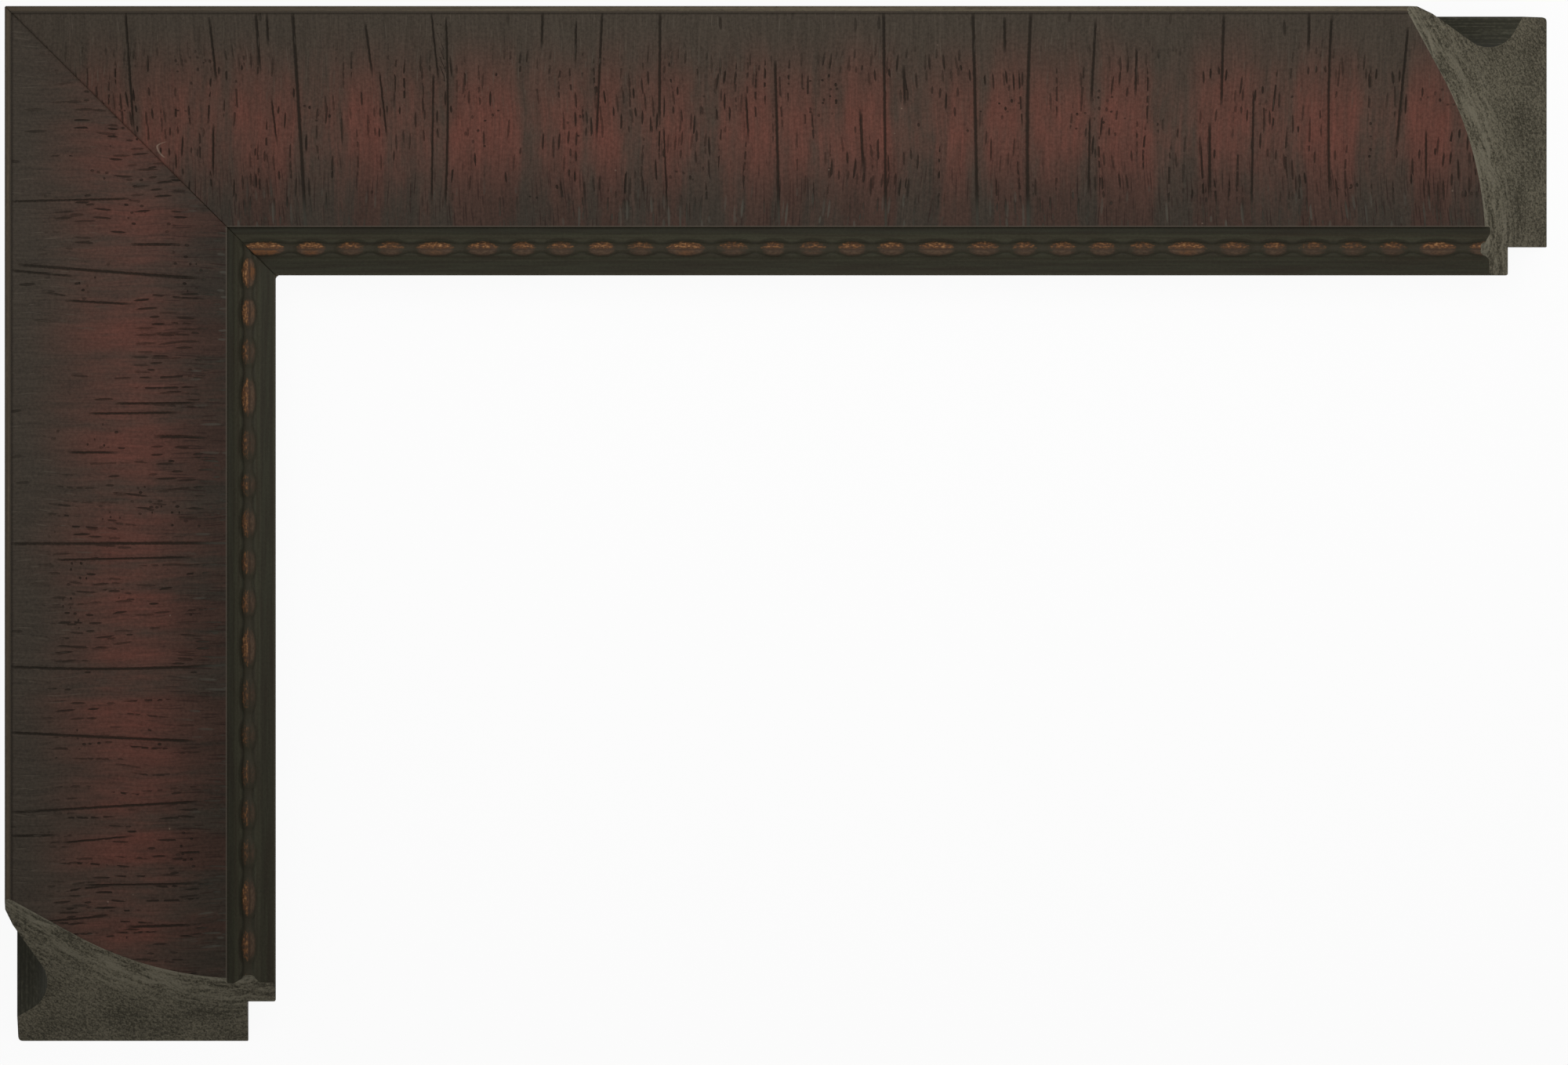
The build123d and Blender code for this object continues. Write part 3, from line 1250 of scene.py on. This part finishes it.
    def figure(self, points: np.ndarray, line: Outline, scoop: float) -> np.ndarray:
        """Redness of the veneer's figure.

        Bands sway by sin(a t + pixel / b) across the scoop, with a and b the sway's numbers,
        and each adds its heat over the plain wood's between two edges, which are smooth steps.

        Args:
            points: Along, width and height of each column and row.
            line: The section's line.
            scoop: Length of the section's line over the scoop.

        Returns:
            Redness of each point, from 0 to 1.
        """
        t = line.travel()[:-1] / scoop
        pixel = self.photograph.pixel(points[..., 0], points[..., 2], self.course.value)
        turn = self.sway_across * t + pixel / self.sway_along
        pixel = pixel + self.band_sway * np.sin(turn)
        heat = np.full_like(pixel, self.plain_heat)
        soft = self.band_edge
        for band in self.bands:
            rise = ramp(pixel, band.start - soft, band.start + soft)
            fall = ramp(pixel, band.end - soft, band.end + soft)
            heat = heat + (band.heat - self.plain_heat) * (rise - fall)
        return heat

    def build(self, finishes: list[bpy.types.Material]) -> bpy.types.Object:
        """Makes the rail's mesh and dresses it.

        Args:
            finishes: Materials in the order of the zones.

        Returns:
            The rail, which stands for its CAD node.
        """
        line = self.section.outline()
        travel = line.travel()
        scoop = travel[np.argmax(line.zone != Zone.VENEER)]
        points, lift = self.surface(line)
        columns, rows = points.shape[:2]

        across, down = (points[..., 0], points[..., 1])[:: 1 - 2 * self.course.value]
        place = np.stack((across, -down, points[..., 2]), axis=-1).reshape(-1, 3)
        place = place * MM + np.array(self.origin())

        index = np.arange(columns * rows).reshape(columns, rows)
        beside = np.roll(index, -1, axis=1)
        quads = np.stack((index[:-1], index[1:], beside[1:], beside[:-1]), axis=-1)
        loop_along = points[..., 0].reshape(-1)[quads]
        over = np.stack((travel[:-1], travel[:-1], travel[1:], travel[1:]), axis=-1)
        loop_over = np.broadcast_to(over, quads.shape)
        face_rows = int(np.argmax(line.zone == Zone.BARE))
        spread = self.sheet.sides(columns, travel, face_rows)
        quads = quads.reshape(-1, 4)
        mitre, cut = index[0], index[-1][::-1]
        if self.course is Course.ACROSS:
            quads = quads[:, ::-1]
            loop_along, loop_over = loop_along[..., ::-1], loop_over[..., ::-1]
            spread = spread[..., ::-1, :]
            mitre, cut = mitre[::-1], cut[::-1]

        mesh = bpy.data.meshes.new(self.name)
        mesh.from_pydata(place.tolist(), [], [*quads.tolist(), mitre.tolist(), cut.tolist()])
        for finish in finishes:
            mesh.materials.append(finish)
        zone = np.tile(line.zone, columns - 1)
        zone = np.concatenate((zone, [Zone.CUT, Zone.CUT])).astype(np.int32)
        mesh.polygons.foreach_set("material_index", zone)

        flat = points.reshape(-1, 3)
        sides = np.stack((loop_along.reshape(-1), loop_over.reshape(-1)), axis=1)
        ends = flat[np.concatenate((mitre, cut))][:, 1:]
        spread = np.concatenate((spread.reshape(-1, 2), self.sheet.ends(ends, len(mitre))))
        for name, values in ((RAIL_MAP, np.concatenate((sides, ends))), (BAKE_MAP, spread)):
            layer = mesh.uv_layers.new(name=name)
            layer.uv.foreach_set("vector", values.astype(np.float32).ravel())
        figure = self.figure(points, line, scoop)
        fields = {BEAD_ATTRIBUTE: lift[..., 1:], FIGURE_ATTRIBUTE: np.stack((figure,) * 3, -1)}
        for turn, name in enumerate(SPLIT_ATTRIBUTES):
            fields[name] = self.split_field(self.splits[turn::2], points, line, scoop)
        for name, values in fields.items():
            attribute = mesh.attributes.new(name, "FLOAT_VECTOR", "POINT")
            attribute.data.foreach_set("vector", values.astype(np.float32).ravel())
        mesh.shade_smooth()
        mesh.set_sharp_from_angle(angle=math.radians(self.sharp_angle))
        mesh.update()

        piece = bpy.data.objects.new(self.name, mesh)
        bpy.context.scene.collection.objects.link(piece)
        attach(piece, self.body)
        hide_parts(self.node)
        return piece


@dataclass(frozen=True)
class Studio:
    """A pale floor, an even sky and a soft lamp over the inside of the corner."""

    floor_size: float = 80.0
    floor_gap: float = 0.0003
    sky: float = 0.4
    lamp_size: tuple[float, float] = (0.5, 0.2)
    lamp_place: tuple[float, float, float] = (0.04, 0.1, 0.26)
    lamp_power: float = 0.6
    floor_white: float = 0.8
    floor_glow: float = 0.93

    def lay_floor(self) -> bpy.types.Object:
        """Makes the floor, whose own glow only the camera and clear reflections see.

        Returns:
            The floor.
        """
        half = self.floor_size / 2
        low = -self.floor_gap
        corners = [(-half, -half, low), (half, -half, low), (half, half, low), (-half, half, low)]
        mesh = bpy.data.meshes.new("floor")
        mesh.from_pydata(corners, [], [(0, 1, 2, 3)])
        board = Board(bpy.data.materials.new("floor"))
        path = board.node("ShaderNodeLightPath", {}, {}, "Is Camera Ray")
        outputs = path.socket.node.outputs
        seen = path.most(Wire(board, outputs["Is Glossy Ray"]))
        seen = seen.most(Wire(board, outputs["Is Transmission Ray"]))
        pale = (self.floor_white, self.floor_white, self.floor_white, 1.0)
        matt = board.node("ShaderNodeBsdfDiffuse", {}, {"Color": pale})
        glow = board.node("ShaderNodeEmission", {}, {"Strength": 1.0})
        mix = board.node("ShaderNodeMixShader", {}, {0: seen * self.floor_glow, 1: matt, 2: glow})
        board.node("ShaderNodeOutputMaterial", {}, {"Surface": mix})
        mesh.materials.append(board.owner)
        floor = bpy.data.objects.new("floor", mesh)
        bpy.context.scene.collection.objects.link(floor)
        return floor

    def light(self) -> None:
        """Hangs the lamp and sets the sky, which the camera sees as white."""
        data = bpy.data.lights.new("soft_lamp", "AREA")
        data.shape = "RECTANGLE"
        data.size, data.size_y = self.lamp_size
        data.energy = self.lamp_power
        lamp = bpy.data.objects.new("soft_lamp", data)
        lamp.location = self.lamp_place
        lamp.visible_camera = False
        bpy.context.scene.collection.objects.link(lamp)

        board = Board(bpy.data.worlds.new("sky"))
        bpy.context.scene.world = board.owner
        seen = board.node("ShaderNodeLightPath", {}, {}, "Is Camera Ray")
        levels = {"Value": seen, "To Min": self.sky, "To Max": 1.0}
        strength = board.node("ShaderNodeMapRange", {}, levels)
        white = {"Color": (1.0, 1.0, 1.0, 1.0), "Strength": strength}
        ground = board.node("ShaderNodeBackground", {}, white)
        board.node("ShaderNodeOutputWorld", {}, {"Surface": ground})


# Splits and open joints that the photograph shows
TOP_SPLITS = (
    Split(160, 178, 0.0, 0.55),
    Split(266, 296, 0.02, 0.33),
    Split(326, 346, 0.0, 0.28, 0.3),
    Split(340, 352, 0.01, 0.16),
    Split(273, 271, 0.54, 0.76),
    Split(332, 366, 0.42, 0.62, 0.18),
    Split(373, 390, 0.0, 1.05, 0.36),
    Split(464, 499, 0.05, 0.3),
    Split(475, 506, 0.29, 0.59, 0.18),
    Split(550, 578, 0.0, 0.32, 0.18),
    Split(554, 550, 0.3, 0.88, 0.2),
    Split(568, 566, 0.03, 0.9, 0.22, 4.0),
    Split(692, 686, 0.0, 0.17),
    Split(735, 730, 0.04, 0.25, 0.2),
    Split(768, 756, 0.0, 0.6, 0.24),
    Split(842, 840, 0.0, 0.52, 0.3),
    Split(840, 852, 0.55, 0.95, 0.14),
    Split(946, 960, 0.4, 0.6, 0.2),
    Split(987, 994, 0.23, 1.0, 0.28),
    Split(1090, 1105, 0.47, 0.74, 0.26),
    Split(1127, 1130, 0.0, 1.02, 0.3),
    Split(1151, 1158, 0.26, 0.45, 0.26),
    Split(1241, 1247, 0.0, 1.04, 0.33),
    Split(1281, 1285, 0.02, 0.2, 0.3),
    Split(1315, 1312, 0.0, 1.05, 0.38, -3.0),
    Split(1398, 1384, 0.04, 0.43, 0.26),
    Split(1392, 1388, 0.5, 0.84, 0.22),
    Split(1451, 1444, 0.17, 0.4, 0.24),
    Split(1543, 1543, 0.53, 0.85, 0.3),
    Split(1561, 1554, 0.01, 0.45, 0.28),
    Split(1601, 1596, 0.38, 0.9, 0.22),
    Split(1670, 1664, 0.0, 0.18, 0.3),
    Split(1699, 1698, 0.02, 0.84, 0.26, -4.0),
    Split(1798, 1772, 0.07, 0.64, 0.26),
    Split(1819, 1819, 0.56, 0.77, 0.22),
)

SIDE_SPLITS = (
    Split(257, 251, 0.0, 0.56, 0.2),
    Split(312, 312, 0.57, 0.78, 0.26),
    Split(337, 358, 0.04, 0.86, 0.28),
    Split(345, 370, 0.0, 0.3, 0.24),
    Split(380, 394, 0.27, 0.57, 0.22),
    Split(516, 514, 0.5, 0.85, 0.22),
    Split(529, 526, 0.38, 0.77, 0.22),
    Split(558, 557, 0.68, 0.82, 0.34),
    Split(577, 578, 0.28, 0.5, 0.24),
    Split(694, 693, 0.0, 1.04, 0.3),
    Split(716, 710, 0.22, 0.83, 0.2),
    Split(851, 848, 0.0, 1.03, 0.28, 4.0),
    Split(935, 948, 0.0, 0.84, 0.28),
    Split(1037, 1021, 0.01, 0.86, 0.26),
    Split(1067, 1062, 0.0, 0.22, 0.26),
    Split(1082, 1056, 0.25, 0.57, 0.2),
    Split(1131, 1127, 0.37, 0.85, 0.2),
    Split(1180, 1156, 0.17, 0.46, 0.22),
    Split(1188, 1179, 0.55, 0.83, 0.28),
)

# Red bands that the photograph shows
TOP_BANDS = (
    Band(105, 165, 0.5),
    Band(175, 238, 0.62),
    Band(242, 290, 0.42),
    Band(300, 374, 0.7),
    Band(420, 440, 0.42),
    Band(447, 488, 0.82),
    Band(494, 552, 0.4),
    Band(576, 660, 0.84),
    Band(682, 705, 0.5),
    Band(707, 746, 0.74),
    Band(760, 793, 0.84),
    Band(818, 840, 0.46),
    Band(842, 877, 0.7),
    Band(920, 940, 0.56),
    Band(945, 986, 0.8),
    Band(991, 1032, 0.74),
    Band(1036, 1070, 0.46),
    Band(1073, 1141, 0.8),
    Band(1187, 1200, 0.55),
    Band(1204, 1240, 0.74),
    Band(1260, 1308, 0.74),
    Band(1316, 1381, 0.72),
    Band(1404, 1471, 0.82),
    Band(1524, 1596, 0.68),
    Band(1599, 1646, 0.46),
    Band(1656, 1731, 0.8),
    Band(1797, 1848, 0.85),
    Band(1853, 1890, 0.38),
)

SIDE_BANDS = (
    Band(160, 216, 0.55),
    Band(264, 301, 0.66),
    Band(318, 332, 0.46),
    Band(380, 403, 0.46),
    Band(409, 450, 0.8),
    Band(462, 536, 0.46),
    Band(544, 591, 0.84),
    Band(593, 616, 0.54),
    Band(654, 690, 0.62),
    Band(693, 713, 0.66),
    Band(724, 751, 0.48),
    Band(760, 801, 0.72),
    Band(812, 846, 0.66),
    Band(890, 942, 0.78),
    Band(945, 977, 0.72),
    Band(981, 1036, 0.54),
    Band(1064, 1106, 0.82),
    Band(1172, 1202, 0.58),
)


def rail_finishes(
    section: Section,
) -> tuple[list[bpy.types.Material], list[bpy.types.Material]]:
    """Makes the materials of both rails.

    Args:
        section: The rails' section.

    Returns:
        Materials of the top rail and of the side rail, in the order of the zones.
    """
    line = section.outline()
    travel = line.travel()
    scoop = float(travel[np.argmax(line.zone != Zone.VENEER)])
    sight = float(travel[np.argmax(line.width > section.rail_width - 0.1)])
    dark = shade(55, 54, 45), shade(76, 74, 63)
    top_lip = LipFinish("top_lip", scoop, sight, 1.0)
    # The side rail's lip is a lighter copy of the paint: painted light that makes up for the less
    # light falling on it.
    side_lip = LipFinish("side_lip", scoop, sight, 1.1)
    bare = BareFinish().make()
    paint = SideFinish("dark_paint", *dark, 0.16).make()
    cut = CutFinish(section.scoop_low, section.scoop_high).make()
    top_face = VeneerFinish("top_veneer", scoop, 0.0, 1.0, 0.13, (33.6, 33.2))
    # The side rail's veneer is a darker copy of the same veneer: painted shade for the light's
    # fall-off on that rail.
    side_face = VeneerFinish("side_veneer", scoop, 420.0, 0.86, 0.195, (-50.0, 0.0))
    # The top nose grows lighter towards the saw cut: painted light.
    top_nose = SideFinish("top_nose", shade(73, 65, 54), shade(86, 78, 64), 0.3, 20.0, 200.0)
    side_nose = SideFinish("side_nose", shade(76, 67, 55), shade(86, 76, 62), 0.1)
    return (
        [top_face.make(), top_lip.make(), bare, paint, top_nose.make(), cut],
        [side_face.make(), side_lip.make(), bare, paint, side_nose.make(), cut],
    )


def main() -> None:
    """Builds the rails and the studio."""
    logging.basicConfig(level=logging.INFO, format="%(name)s: %(message)s")
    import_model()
    section = Section()
    top_rail = Rail(
        name="top_rail_moulding",
        node="top_rail",
        course=Course.ACROSS,
        section=section,
        beads=BeadRow(19.2, section.bead_axis, 5, 0.5, 4.0),
        splits=TOP_SPLITS,
        bands=TOP_BANDS,
        columns=520,
    )
    side_rail = Rail(
        name="side_rail_moulding",
        node="side_rail",
        course=Course.DOWN,
        section=section,
        beads=BeadRow(27.8, section.bead_axis, 8, 0.39, 0.0),
        splits=SIDE_SPLITS,
        bands=SIDE_BANDS,
        columns=350,
    )
    for rail, finishes in zip((top_rail, side_rail), rail_finishes(section)):
        piece = rail.build(finishes)
        log.info("%s: %d faces", piece.name, len(piece.data.polygons))
    studio = Studio()
    studio.lay_floor()
    studio.light()
    Photograph().camera(top_rail.origin())
    bpy.context.scene.view_settings.view_transform = "Standard"


if __name__ == "__main__":
    main()
